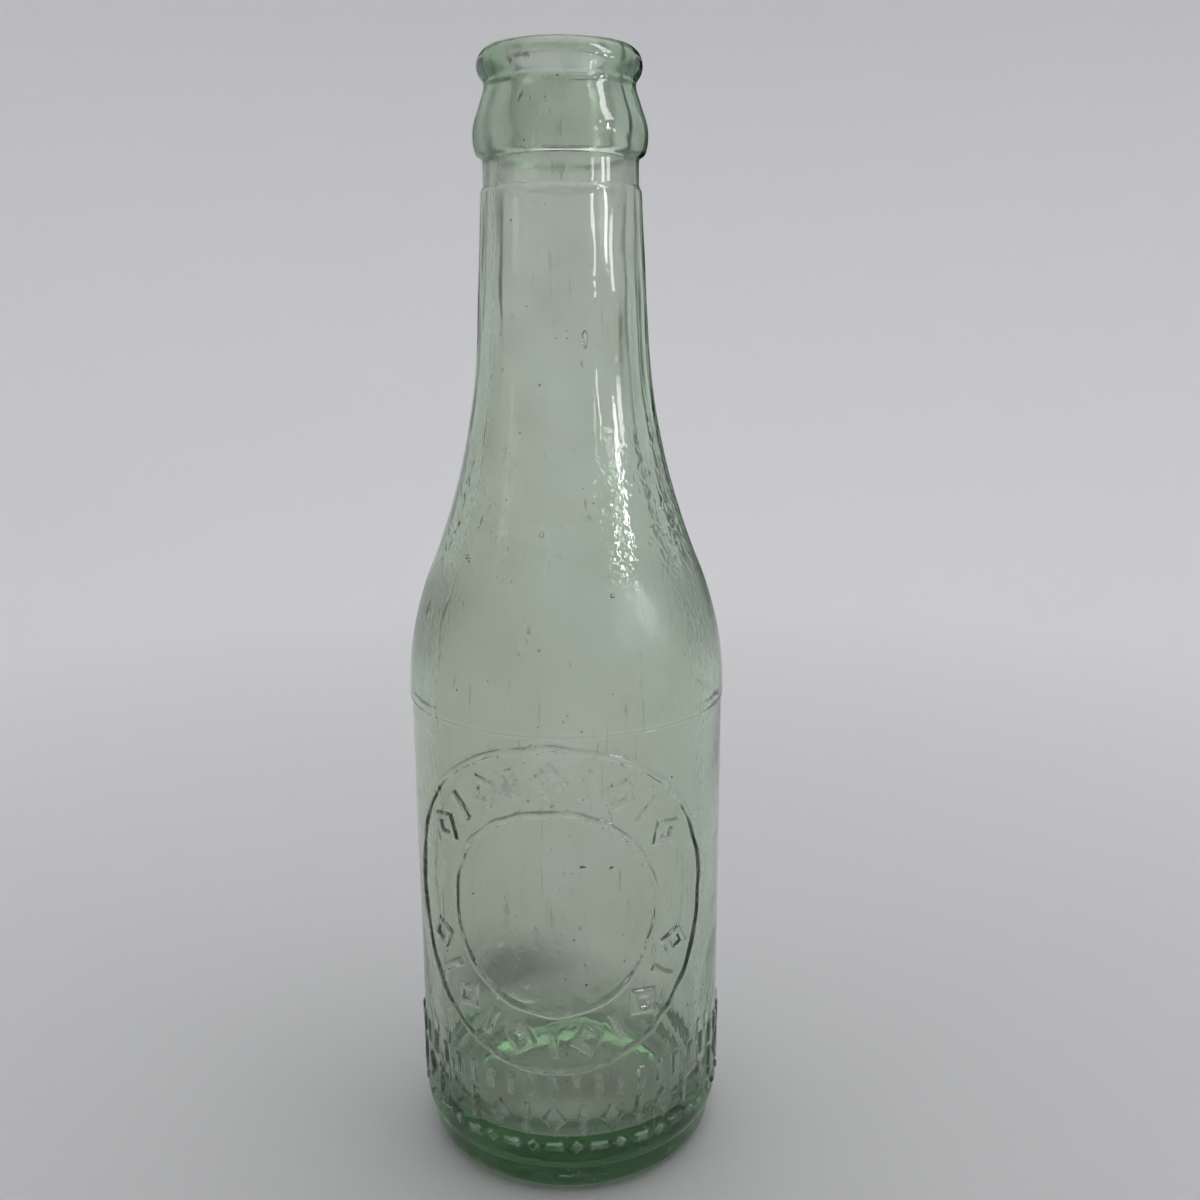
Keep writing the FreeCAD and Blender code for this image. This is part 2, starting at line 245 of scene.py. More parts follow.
def stamp_badge(relief):
    """Two raised circles with a border of open lozenges and bars between them."""
    def circles(across, up):
        out = np.hypot(across, up)
        return np.min([np.abs(out - circle) for circle in BADGE_CIRCLES], axis=0) - CIRCLE_STROKE / 2

    relief.stamp(BADGE_AZIMUTH, BADGE_Z, 31, 31, circles)
    for middle, count, pitch in ((0, 9, 14.5), (180, 11, 14.0)):
        for index in range(count):
            clock = math.radians(middle + (index - (count - 1) / 2) * pitch)
            motif = open_lozenge if index % 2 == 0 else badge_bar

            def shape(across, up, clock=clock, motif=motif):
                out = across * math.sin(clock) + up * math.cos(clock) - MOTIF_CIRCLE
                along = across * math.cos(clock) - up * math.sin(clock)
                return motif(along, out)

            relief.stamp(BADGE_AZIMUTH, BADGE_Z, 29, 29, shape)


def stamp_heel(relief):
    """Three rows of small raised marks round the heel's front and sides."""
    def short_bar(across, up, height):
        return bar_distance(across, up, RELIEF_STROKE, height)

    def small_lozenge(across, up, height):
        return lozenge_distance(across, up, height * 0.7, height)

    def stud(across, up, height):
        return lozenge_distance(across, up, height * 0.5, height * 0.5)

    def dash(across, up, height):
        return bar_distance(across, up, height * 0.7, RELIEF_STROKE)

    rows = (
        (22.0, 4.0, 27, 8.0, [short_bar]),
        (15.8, 5.6, 21, 10.4, [small_lozenge, short_bar]),
        (10.4, 4.0, 27, 8.0, [stud, dash]),
    )
    for middle, height, count, pitch, motifs in rows:
        for index in range(count):
            azimuth = BADGE_AZIMUTH + (index - (count - 1) / 2) * pitch
            motif = motifs[index % len(motifs)]
            relief.stamp(azimuth, middle, 4, height / 2 + 1,
                         lambda across, up, motif=motif, height=height: motif(across, up, height))


# ---------------------------------------------------------------------------------------
# Unevenness of blown glass
# ---------------------------------------------------------------------------------------
def waves(azimuth, height, seed, count, turns, lengths, size):
    """A sum of gentle waves round and along the bottle, seeded, about size high each way."""
    rng = np.random.RandomState(seed)
    total = np.zeros((len(height), len(azimuth)))
    for _ in range(count):
        around = rng.randint(turns[0], turns[1] + 1)
        along = 2 * math.pi / rng.uniform(*lengths) * rng.choice([-1, 1])
        phase = rng.uniform(0, 2 * math.pi)
        total += np.cos(around * azimuth[None, :] + along * height[:, None] + phase)
    return total * size / math.sqrt(count / 2)


def ridge(distance, half_width):
    """A soft ridge, 1 on its line and 0 beyond twice its half width."""
    return smooth_step(1 - np.abs(distance) / (2 * half_width))


def rough_radius(height):
    """Roughly the outside's radius, for sizes along the surface."""
    return np.interp(height, [0, 85, 107, 147, 191], [27.4, 27.6, 23.2, 14.3, 12.5])


def outer_unevenness(azimuth, height):
    """Seams, parting lines and the faint ripple of the outside."""
    wobble = waves(azimuth, height, 11, 6, (0, 2), (14, 40), 0.10)
    lines = 0.20 * ridge(height[:, None] - BODY_TOP_Z - 0.1 + wobble, 0.16)
    lines += 0.10 * ridge(height[:, None] - BAND_Z + 0.1 + wobble, 0.16)
    lines += 0.08 * ridge(height[:, None] - BASE_PLATE_Z + 0.1 + wobble, 0.14)
    local = rough_radius(height)
    drift = waves(np.zeros(1), height, 12, 5, (0, 0), (9, 35), 0.012)
    upright = (height > BASE_PLATE_Z) & (height < BAND_Z)
    seams = np.zeros_like(lines)
    for side in (0, 180):
        turn = wrap_angle(azimuth[None, :] - math.radians(SEAM_AZIMUTH + side) + drift)
        seams += 0.08 * ridge(turn * local[:, None], 0.24)
    ripple = waves(azimuth, height, 13, 26, (2, 14), (9, 60), 0.012)
    neck = smooth_step((height - 100) / 40)[:, None]
    strands = waves(azimuth, height, 14, 16, (14, 36), (60, 200), 0.007) * neck
    return lines + seams * upright[:, None] + ripple + strands


def inner_unevenness(azimuth, height):
    """The cavity lies a little to the left and its wall is wavy, as blown glass is."""
    shift = np.interp(height, [8, 30, 85, 110, 150, 168, 176], [0.0, 0.15, 0.2, 0.2, 0.1, 0.0, 0.0])
    off_centre = shift[:, None] * np.sin(azimuth)[None, :]
    calm = np.interp(height, [8, 20, 90, 165, 174, 182], [0.2, 0.8, 1.0, 0.8, 0.25, 0.0])[:, None]
    broad = waves(azimuth, height, 21, 18, (1, 4), (35, 120), 0.07)
    fine = waves(azimuth, height, 22, 22, (5, 14), (10, 50), 0.010)
    strands = waves(azimuth, height, 23, 16, (10, 28), (50, 200), 0.012)
    neck = smooth_step((height - 100) / 40)[:, None]
    return off_centre + (broad + fine) * calm + strands * neck * calm


# ---------------------------------------------------------------------------------------
# The skin as one closed mesh
# ---------------------------------------------------------------------------------------
def grid_mesh(name, points, poles):
    """A closed mesh from rings of points, lowest ring first, shut by a fan at each pole."""
    rows, columns = points.shape[:2]
    vertices = np.vstack([points.reshape(-1, 3), poles]).astype(np.float32)
    index = np.arange(rows * columns).reshape(rows, columns)
    across = np.roll(index, -1, axis=1)
    quads = np.stack([index[:-1], across[:-1], across[1:], index[1:]], axis=-1).reshape(-1, 4)
    first_pole = rows * columns
    start = np.column_stack([across[0], index[0], np.full(columns, first_pole)])
    finish = np.column_stack([index[-1], across[-1], np.full(columns, first_pole + 1)])
    triangles = np.vstack([start, finish])
    mesh = bpy.data.meshes.new(name)
    mesh.vertices.add(len(vertices))
    mesh.vertices.foreach_set("co", vertices.ravel())
    loops = np.concatenate([quads.ravel(), triangles.ravel()]).astype(np.int32)
    mesh.loops.add(len(loops))
    mesh.loops.foreach_set("vertex_index", loops)
    quad_starts = np.arange(len(quads)) * 4
    triangle_starts = len(quads) * 4 + np.arange(len(triangles)) * 3
    starts = np.concatenate([quad_starts, triangle_starts])
    mesh.polygons.add(len(starts))
    mesh.polygons.foreach_set("loop_start", starts.astype(np.int32))
    mesh.polygons.foreach_set("use_smooth", np.ones(len(starts), dtype=bool))
    mesh.update(calc_edges=True)
    mesh.validate()
    piece = bpy.data.objects.new(name, mesh)
    bpy.context.collection.objects.link(piece)
    return piece


def place(radius, height, azimuth):
    """Metres from millimetres and radians: azimuth 0 is the front, -Y."""
    return np.stack([radius * np.sin(azimuth), -radius * np.cos(azimuth), height], axis=-1) * MM


# azimuth, height, half width, half height, tilt in degrees, strength, on the outside
MARKS = (
    (-33, 187.4, 0.5, 0.5, 20, 0.7, True),
    (-27, 187.9, 0.9, 0.4, 10, 0.6, True),
    (-21, 187.8, 0.7, 0.4, 0, 0.6, True),
    (-25.8, 182.1, 0.20, 0.6, -12, 1.0, True),
    (0.4, 171.6, 1.5, 0.9, 0, 0.35, False),
    (-64.9, 102.1, 0.8, 1.5, -25, 0.8, True),
    (-19.4, 76.1, 1.2, 1.8, 10, 0.30, True),
    (13.3, 142.4, 0.3, 0.5, 10, 0.5, True),
    (6.2, 62.7, 0.5, 0.18, -10, 0.9, True),
    (15.9, 62.1, 0.4, 0.18, 15, 0.9, True),
    (3.4, 4.2, 0.3, 0.45, 0, 1.0, True),
    (-9.0, 87.6, 0.7, 0.16, -8, 0.8, True),
    (-14.0, 90.5, 0.5, 0.14, -10, 0.6, True),
    (-42.0, 117.5, 0.25, 0.7, -20, 0.6, True),
)


def marks_on_glass(azimuth, height, outside):
    """How dirty each point of the skin is, 0 to 1, from the table of single marks."""
    dirt = np.zeros((len(height), len(azimuth)))
    local = rough_radius(height)
    rough = waves(azimuth, height, 32, 30, (30, 140), (0.8, 3.0), 0.22)
    for turn, middle, half_width, half_height, tilt, strength, on_outside in MARKS:
        rows = np.where((np.abs(height - middle) < 6) & (outside == on_outside))[0]
        if not len(rows):
            continue
        across = wrap_angle(azimuth - math.radians(turn))[None, :] * local[rows][:, None]
        up = (height[rows] - middle)[:, None]
        lean = math.radians(tilt)
        along = (across * math.cos(lean) + up * math.sin(lean)) / half_width
        rise = (-across * math.sin(lean) + up * math.cos(lean)) / half_height
        spot = smooth_step((1.25 - np.hypot(along, rise) + rough[rows]) / 0.6) * strength
        dirt[rows] = np.maximum(dirt[rows], spot)
    return dirt


def residue_on_floor(azimuth, radius, height, outside):
    """A faint dark crust dried in the corner of the inner floor, at the back."""
    floor = (~outside & (height < 16))[:, None]
    turn = wrap_angle(azimuth - math.pi + 0.1)[None, :] / math.radians(42)
    ring = (radius[:, None] - 19.0) / 3.0
    edge = waves(azimuth, radius * 3, 33, 20, (6, 40), (4, 20), 0.3)
    return floor * smooth_step((1.1 - np.hypot(turn, ring) + edge) / 0.8) * 0.35


def haze_on_glass(azimuth, height, outside, rubbed_marks):
    """How cloudy each point is, 0 to 1: dried film, most in the mouth, and rubbed marks."""
    levels = [8, 12, 30, 90, 130, 160, 169, 173]
    film = [0.3, 0.2, 0.1, 0.1, 0.2, 0.3, 0.4, 0.55]
    inside = np.interp(height, levels, film)
    cloud = waves(azimuth, height, 35, 24, (1, 12), (8, 60), 0.25)
    haze = np.where(outside[:, None], 0.06, inside[:, None]) * np.clip(1 + cloud, 0.4, 1.8)
    return np.clip(haze + rubbed_marks, 0, 1)


def raise_marks(azimuth, height, band, lift):
    """Adds the raised marks to the lift, and gives how rubbed and how grimy each point is."""
    here = height[band]
    warp = (waves(azimuth, here, 41, 14, (4, 30), (5, 20), 0.09),
            waves(azimuth, here, 42, 14, (4, 30), (5, 20), 0.09))
    relief = Relief(azimuth, here, warp)
    stamp_badge(relief)
    stamp_heel(relief)
    worn = np.clip(0.86 + waves(azimuth, here, 43, 20, (4, 40), (4, 30), 0.14), 0.5, 0.98)
    raised = smooth_step((RELIEF_EDGE - relief.distance) / (RELIEF_EDGE + RELIEF_CREST))
    lift[band] += RELIEF_HEIGHT * RELIEF_LEFT * worn * raised
    uneven = np.clip(0.5 + waves(azimuth, here, 44, 24, (8, 60), (3, 20), 0.5), 0, 1)
    rubbed_marks = np.zeros_like(lift)
    rubbed_marks[band] = 0.8 * raised * uneven
    crumbs = np.clip(waves(azimuth, here, 45, 30, (60, 190), (0.7, 2.5), 0.8) - 0.4, 0, 1)
    grime = np.zeros_like(lift)
    grime[band] = 0.6 * ridge(relief.distance - 0.1, 0.3) * crumbs * uneven
    return rubbed_marks, grime


def add_layer(piece, label, values):
    """A number on every point of the skin, for the glass material to read."""
    layer = piece.data.attributes.new(label, "FLOAT", "POINT")
    on_poles = values[[0, -1], 0]
    layer.data.foreach_set("value", np.append(values.ravel(), on_poles).astype(np.float32))


def make_bottle():
    radius, height, normal, outside, ends = make_outline()
    azimuth = np.linspace(-math.pi, math.pi, COLUMNS, endpoint=False)
    lift = np.zeros((len(height), COLUMNS))
    skin = outside & (height > BASE_PLATE_Z - 2)
    lift[skin] += outer_unevenness(azimuth, height[skin])
    band = skin & (height < BODY_TOP_Z)
    rubbed_marks, grime = raise_marks(azimuth, height, band, lift)
    inner = ~outside
    lift[inner] += inner_unevenness(azimuth, height[inner])
    lift *= np.clip(radius / 6, 0, 1)[:, None]

    out = radius[:, None] + lift * normal[:, :1]
    up = height[:, None] + lift * normal[:, 1:]
    points = place(out, up, azimuth[None, :])
    poles = np.array([[0, 0, ends[0][1]], [0, 0, ends[1][1]]]) * MM
    bottle = grid_mesh("bottle", points, poles)
    dirt = np.maximum(marks_on_glass(azimuth, height, outside), grime)
    dirt = np.maximum(dirt, residue_on_floor(azimuth, radius, height, outside))
    add_layer(bottle, "dirt", dirt)
    add_layer(bottle, "haze", haze_on_glass(azimuth, height, outside, rubbed_marks))
    return bottle


# azimuth, height, depth under the outside, half width, half height, half thickness
LARGE_BUBBLES = (
    (16.3, 146.0, 1.0, 0.48, 1.45, 0.42),
    (-47.6, 111.3, 1.0, 0.42, 0.42, 0.35),
    (-45.6, 110.9, 1.0, 0.36, 0.40, 0.30),
    (20.3, 106.4, 1.1, 0.38, 0.36, 0.30),
    (-12.5, 101.3, 1.2, 0.32, 0.30, 0.26),
    (-15.7, 97.8, 1.2, 0.26, 0.26, 0.22),
    (-9.7, 115.8, 1.3, 0.42, 0.50, 0.16),
)
SMALL_BUBBLES = 70
BUBBLE_STEPS = 16
BUBBLE_RINGS = 10


def scatter_bubbles():
    """The large bubbles, and a seeded scatter of small ones."""
    bubbles = list(LARGE_BUBBLES)
    rng = np.random.RandomState(51)
    for _ in range(SMALL_BUBBLES):
        size = rng.uniform(0.07, 0.2)
        bubbles.append((rng.uniform(-180, 180), rng.uniform(12, 168), rng.uniform(0.8, 1.6),
                        size, size * rng.uniform(1.0, 2.2), size * 0.8))
    return bubbles


def bubble_points(bubble, outer_radius):
    """One ellipsoid's points: lower pole, rings going up, upper pole. It leans with the wall."""
    turn, middle, depth, half_width, half_height, half_depth = bubble
    angle = math.radians(turn)
    out = Vector((math.sin(angle), -math.cos(angle), 0))
    side = Vector((math.cos(angle), math.sin(angle), 0))
    centre = out * (outer_radius(middle) - depth) + Vector((0, 0, middle))
    lean = (outer_radius(middle + 2) - outer_radius(middle - 2)) / 4
    rise = (Vector((0, 0, 1)) + out * lean).normalized()
    points = [centre - rise * half_height]
    for ring in range(1, BUBBLE_RINGS):
        polar = math.pi * ring / BUBBLE_RINGS
        for step in range(BUBBLE_STEPS):
            spin = 2 * math.pi * step / BUBBLE_STEPS
            points.append(centre - rise * half_height * math.cos(polar)
                          + side * half_width * math.sin(polar) * math.cos(spin)
                          + out * half_depth * math.sin(polar) * math.sin(spin))
    points.append(centre + rise * half_height)
    return points


def bubble_faces(base):
    """The faces over one ellipsoid whose first point has that index."""
    faces = []
    last = base + 1 + (BUBBLE_RINGS - 2) * BUBBLE_STEPS
    top = base + 1 + (BUBBLE_RINGS - 1) * BUBBLE_STEPS
    for step in range(BUBBLE_STEPS):
        following = (step + 1) % BUBBLE_STEPS
        faces.append((base, base + 1 + step, base + 1 + following))
        for ring in range(BUBBLE_RINGS - 2):
            low = base + 1 + ring * BUBBLE_STEPS
            high = low + BUBBLE_STEPS
            faces.append((low + step, high + step, high + following, low + following))
        faces.append((last + step, top, last + following))
    return faces


def make_seed_bubbles():
    """Small bubbles shut in the wall: ellipsoids with a clear skin, whose faces look outwards."""
    outer_radius = make_outer_radius()
    vertices = []
    faces = []
    for bubble in scatter_bubbles():
        faces += bubble_faces(len(vertices))
        vertices += bubble_points(bubble, outer_radius)
    mesh = bpy.data.meshes.new("seed_bubbles")
    mesh.from_pydata([vertex * MM for vertex in vertices], [], faces)
    mesh.polygons.foreach_set("use_smooth", [True] * len(mesh.polygons))
    piece = bpy.data.objects.new("seed_bubbles", mesh)
    bpy.context.collection.objects.link(piece)
    return piece


def make_outer_radius():
    """The outside's radius at a height, between the outline's own corners and curves."""
    outer = [run_points(corner, OUTLINE[index + 1][0], curve)
             for index, (corner, curve) in enumerate(OUTLINE[:LIP_CORNER]) if index >= 2]
    line = np.vstack(outer)
    return lambda height: float(np.interp(height, line[:, 1], line[:, 0]))


# ---------------------------------------------------------------------------------------
# Materials. Distances in them are in metres.
# ---------------------------------------------------------------------------------------
GLASS_IOR = 1.52
ABSORPTION_COLOUR = (0.38, 0.64, 0.39, 1)
ABSORPTION_DENSITY = 84.0
CLEAN_TINT = (0.982, 0.988, 0.968, 1)
STAIN_TINT = (0.87, 0.87, 0.81, 1)
DIRT_COLOUR = (0.10, 0.10, 0.06, 1)
SPECK_STRENGTH = 0.65
SCRATCH_STRENGTH = 0.40
HAZE_STRENGTH = 0.20
RUBBED_FOOT = (0.086, 0.097)
RUBBED_HEAD = (0.105, 0.110)
RUBBED_ROUGHNESS = 0.26
PIT_DEPTH = 0.00005
PEEL_STRENGTH = 0.22
PEEL_DEPTH = 0.0002
# Painted shade on the cloth: greyer near the bottle's foot, paler from 0.40 m out.
CLOTH_PAINTED_SHADE = (0.60, 0.60, 0.60, 1)
CLOTH_FAR = (0.74, 0.74, 0.75, 1)
PAINTED_SHADE_RADII = (0.06, 0.40)


def material(name):
    made = bpy.data.materials.new(name)
    made.use_nodes = True
    made.node_tree.nodes.clear()
    output = made.node_tree.nodes.new("ShaderNodeOutputMaterial")
    return made, made.node_tree, output


def set_inputs(shader, **values):
    for key, value in values.items():
        shader.inputs[key.replace("_", " ")].default_value = value


class Wiring:
    """Short ways to add noise, ranges, sums and mixes to a material's node tree."""

    def __init__(self, tree):
        self.tree = tree
        self.spot = tree.nodes.new("ShaderNodeTexCoord").outputs["Object"]
        separate = tree.nodes.new("ShaderNodeSeparateXYZ")
        tree.links.new(self.spot, separate.inputs["Vector"])
        self.position = separate.outputs

    def noise(self, scale, detail, stretch=(1, 1, 1)):
        mapping = self.tree.nodes.new("ShaderNodeMapping")
        mapping.inputs["Scale"].default_value = stretch
        self.tree.links.new(self.spot, mapping.inputs["Vector"])
        texture = self.tree.nodes.new("ShaderNodeTexNoise")
        set_inputs(texture, Scale=scale, Detail=detail)
        self.tree.links.new(mapping.outputs["Vector"], texture.inputs["Vector"])
        return texture.outputs["Fac"]

    def ramp(self, value, low, high, bottom=0.0, top=1.0):
        ranged = self.tree.nodes.new("ShaderNodeMapRange")
        ranged.clamp = True
        ranged.inputs["From Min"].default_value = low
        ranged.inputs["From Max"].default_value = high
        ranged.inputs["To Min"].default_value = bottom
        ranged.inputs["To Max"].default_value = top
        self.tree.links.new(value, ranged.inputs["Value"])
        return ranged.outputs["Result"]

    def calculate(self, operation, first, second):
        maths = self.tree.nodes.new("ShaderNodeMath")
        maths.operation = operation
        for socket, value in zip(maths.inputs, (first, second)):
            if isinstance(value, (int, float)):
                socket.default_value = value
            else:
                self.tree.links.new(value, socket)
        return maths.outputs["Value"]

    def attribute(self, label):
        layer = self.tree.nodes.new("ShaderNodeAttribute")
        layer.attribute_name = label
        return layer.outputs["Fac"]

    def bump(self, height, strength, depth):
        relief = self.tree.nodes.new("ShaderNodeBump")
        set_inputs(relief, Distance=depth)
        if isinstance(strength, (int, float)):
            set_inputs(relief, Strength=strength)
        else:
            self.tree.links.new(strength, relief.inputs["Strength"])
        self.tree.links.new(height, relief.inputs["Height"])
        return relief


def wire_dirt(wiring):
    """Single marks, dark specks and long upright scratches, 0 to 1."""
    cells = wiring.tree.nodes.new("ShaderNodeTexVoronoi")
    set_inputs(cells, Scale=620.0)
    wiring.tree.links.new(wiring.spot, cells.inputs["Vector"])
    chosen = wiring.ramp(cells.outputs["Color"], 0.68, 0.94)
    size = wiring.calculate("MULTIPLY", chosen, 0.15)
    within = wiring.calculate("LESS_THAN", cells.outputs["Distance"], size)
    grain = wiring.calculate("MULTIPLY", within, chosen)
    crests = wiring.ramp(wiring.noise(1300.0, 3.0, (1, 1, 0.04)), 0.66, 0.72)
    patch = wiring.ramp(wiring.noise(60.0, 2.0), 0.48, 0.60)
    scratches = wiring.calculate("MULTIPLY", crests, patch)
    specks = wiring.calculate("MULTIPLY", grain, SPECK_STRENGTH)
    dirt = wiring.calculate("MAXIMUM", wiring.attribute("dirt"), specks)
    faint_scratches = wiring.calculate("MULTIPLY", scratches, SCRATCH_STRENGTH)
    return wiring.calculate("MAXIMUM", dirt, faint_scratches)


def wire_colour(wiring, cloudy, dirt, target):
    """Olive stain in patches, in the haze and above the heel, a darker olive tint towards the left
    (-X), and brown dirt.
    """
    tree = wiring.tree
    blots = wiring.ramp(wiring.noise(60.0, 9.0), 0.42, 0.62)
    regions = wiring.ramp(wiring.noise(16.0, 2.0), 0.35, 0.65, 0.2, 1.0)
    blotchy = wiring.calculate("MULTIPLY", blots, regions)
    in_patches = wiring.calculate("MULTIPLY", blotchy, 0.7)
    stained = wiring.calculate("ADD", in_patches, wiring.ramp(cloudy, 0.2, 1.0, 0.0, 0.25))
    # Darker and more olive towards the left (-X).
    on_left = wiring.ramp(wiring.position["X"], -0.003, -0.020, 0.0, 0.5)
    stained = wiring.calculate("ADD", stained, on_left)
    above_heel = wiring.ramp(wiring.position["Z"], 0.012, 0.032, 0.0, 0.25)
    stained = wiring.calculate("ADD", stained, above_heel)
    stain = tree.nodes.new("ShaderNodeMix")
    stain.data_type = "RGBA"
    stain.inputs["A"].default_value = CLEAN_TINT
    stain.inputs["B"].default_value = STAIN_TINT
    tree.links.new(stained, stain.inputs["Factor"])
    tint = tree.nodes.new("ShaderNodeMix")
    tint.data_type = "RGBA"
    tree.links.new(stain.outputs["Result"], tint.inputs["A"])
    tint.inputs["B"].default_value = DIRT_COLOUR
    tree.links.new(wiring.ramp(dirt, 0.02, 0.8), tint.inputs["Factor"])
    tree.links.new(tint.outputs["Result"], target)


def wire_roughness(wiring, cloudy, target):
    """Scuffs, haze, and a band where bottles rub as the shoulder turns into the body."""
    scuff = wiring.ramp(wiring.noise(210.0, 6.0), 0.45, 0.8, 0.015, 0.10)
    rough = wiring.calculate("MAXIMUM", scuff, wiring.calculate("MULTIPLY", cloudy, 0.38))
    band_foot = wiring.ramp(wiring.position["Z"], *RUBBED_FOOT)
    band_head = wiring.ramp(wiring.position["Z"], *RUBBED_HEAD, 1.0, 0.0)
    rubbed_band = wiring.calculate("MULTIPLY", band_foot, band_head)
    in_band = wiring.calculate("MULTIPLY", rubbed_band, RUBBED_ROUGHNESS)
    wiring.tree.links.new(wiring.calculate("MAXIMUM", rough, in_band), target)


def wire_bumps(wiring, target):
    """Fine dimples on the shoulder, fading out up the neck, over a soft ripple everywhere."""
    below_neck = wiring.ramp(wiring.position["Z"], 0.124, 0.136, 1.0, 0.03)
    above_body = wiring.ramp(wiring.position["Z"], 0.082, 0.100, 0.25, 1.0)
    dimpled = wiring.calculate("MULTIPLY", below_neck, above_body)
    pits = wiring.bump(wiring.noise(1250.0, 0.0, (1, 1, 0.7)), dimpled, PIT_DEPTH)
    peel = wiring.bump(wiring.noise(190.0, 2.0), PEEL_STRENGTH, PEEL_DEPTH)
    wiring.tree.links.new(pits.outputs["Normal"], peel.inputs["Normal"])
    wiring.tree.links.new(peel.outputs["Normal"], target)


def bottle_glass_material():
    """Pale green soda glass, greener where thicker, with scuffs, specks, scratches and stain."""
    made, tree, output = material("pale_green_glass")
    shader = tree.nodes.new("ShaderNodeBsdfPrincipled")
    set_inputs(shader, IOR=GLASS_IOR)
    absorption = tree.nodes.new("ShaderNodeVolumeAbsorption")
    set_inputs(absorption, Color=ABSORPTION_COLOUR, Density=ABSORPTION_DENSITY)
    tree.links.new(shader.outputs["BSDF"], output.inputs["Surface"])
    tree.links.new(absorption.outputs["Volume"], output.inputs["Volume"])

    wiring = Wiring(tree)
    dirt = wire_dirt(wiring)
    cloud = wiring.ramp(wiring.noise(150.0, 6.0), 0.3, 0.7, 0.6, 1.4)
    cloudy = wiring.calculate("MULTIPLY", wiring.attribute("haze"), cloud)
    film = wiring.calculate("MULTIPLY", cloudy, HAZE_STRENGTH)
    clear = wiring.calculate("SUBTRACT", 1.0, wiring.calculate("MAXIMUM", dirt, film))
    tree.links.new(clear, shader.inputs["Transmission Weight"])
    wire_colour(wiring, cloudy, dirt, shader.inputs["Base Color"])
    wire_roughness(wiring, cloudy, shader.inputs["Roughness"])
    wire_bumps(wiring, shader.inputs["Normal"])
    return made


def bubble_material():
    """Clear, slightly rippled glass with no colour of its own."""
    made, tree, output = material("bubble_skin")
    shader = tree.nodes.new("ShaderNodeBsdfPrincipled")
    set_inputs(shader, IOR=GLASS_IOR, Transmission_Weight=1.0, Roughness=0.0, Base_Color=(1, 1, 1, 1))
    ripple = tree.nodes.new("ShaderNodeTexNoise")
    set_inputs(ripple, Scale=900.0)
    bump = tree.nodes.new("ShaderNodeBump")
    set_inputs(bump, Strength=0.2, Distance=0.00002)
    tree.links.new(ripple.outputs["Fac"], bump.inputs["Height"])
    tree.links.new(bump.outputs["Normal"], shader.inputs["Normal"])
    tree.links.new(shader.outputs["BSDF"], output.inputs["Surface"])
    return made


def cloth_material():
    """Plain pale cloth with painted shade: greyer round the bottle's foot, paler from 0.40 m out."""
    made, tree, output = material("pale_sweep_painted_shade")
    shader = tree.nodes.new("ShaderNodeBsdfPrincipled")
    set_inputs(shader, Roughness=0.95)
    shader.inputs["Specular IOR Level"].default_value = 0.1
    spot = tree.nodes.new("ShaderNodeTexCoord")
    distance = tree.nodes.new("ShaderNodeVectorMath")
    distance.operation = "LENGTH"
    # Painted shade: the cloth is greyer the nearer it lies to the bottle's foot.
    away = tree.nodes.new("ShaderNodeMapRange")
    away.inputs["From Min"].default_value = PAINTED_SHADE_RADII[0]
    away.inputs["From Max"].default_value = PAINTED_SHADE_RADII[1]
    shade = tree.nodes.new("ShaderNodeMix")
    shade.data_type = "RGBA"
    shade.inputs["A"].default_value = CLOTH_PAINTED_SHADE
    shade.inputs["B"].default_value = CLOTH_FAR
    tree.links.new(spot.outputs["Object"], distance.inputs[0])
    tree.links.new(distance.outputs["Value"], away.inputs["Value"])
    tree.links.new(away.outputs["Result"], shade.inputs["Factor"])
    tree.links.new(shade.outputs["Result"], shader.inputs["Base Color"])
    tree.links.new(shader.outputs["BSDF"], output.inputs["Surface"])
    return made


# ---------------------------------------------------------------------------------------
# Studio: a round pale sweep, a soft lamp, and cards and discs that only the glass sees
# ---------------------------------------------------------------------------------------
FLOOR_RADIUS = 0.75
SWEEP_CURVE = 0.45
WALL_TOP = 1.6


def make_sweep():
    """Floor and wall in one turned sheet, the same from every side."""
    outline = [(0.0, 0.0), (FLOOR_RADIUS, 0.0)]
    for step in range(1, 25):
        angle = math.pi / 2 * step / 24
        out = FLOOR_RADIUS + SWEEP_CURVE * math.sin(angle)
        outline.append((out, SWEEP_CURVE * (1 - math.cos(angle))))
    outline.append((FLOOR_RADIUS + SWEEP_CURVE, WALL_TOP))
    steps = 96
    vertices = [(0, 0, 0)]
    faces = []
    for radius, height in outline[1:]:
        for step in range(steps):
            angle = 2 * math.pi * step / steps
            vertices.append((radius * math.cos(angle), radius * math.sin(angle), height))
    for step in range(steps):
        following = (step + 1) % steps
        faces.append((0, 1 + step, 1 + following))
        for ring in range(len(outline) - 2):
            low = 1 + ring * steps
            faces.append((low + step, low + steps + step, low + steps + following, low + following))
    mesh = bpy.data.meshes.new("sweep")
    mesh.from_pydata(vertices, [], faces)
    mesh.polygons.foreach_set("use_smooth", [True] * len(mesh.polygons))
    sweep = bpy.data.objects.new("sweep", mesh)
    bpy.context.collection.objects.link(sweep)
    sweep.data.materials.append(cloth_material())


def around(azimuth, distance, height):
    """A place in the room at that azimuth from the front, in degrees and metres."""
    angle = math.radians(azimuth)
    return Vector((distance * math.sin(angle), -distance * math.cos(angle), height))


def show_only_in_glass(piece):
    """Leaves a piece to reflections and to what is seen through the glass."""
    piece.visible_camera = False
    piece.visible_diffuse = False
    piece.visible_shadow = False


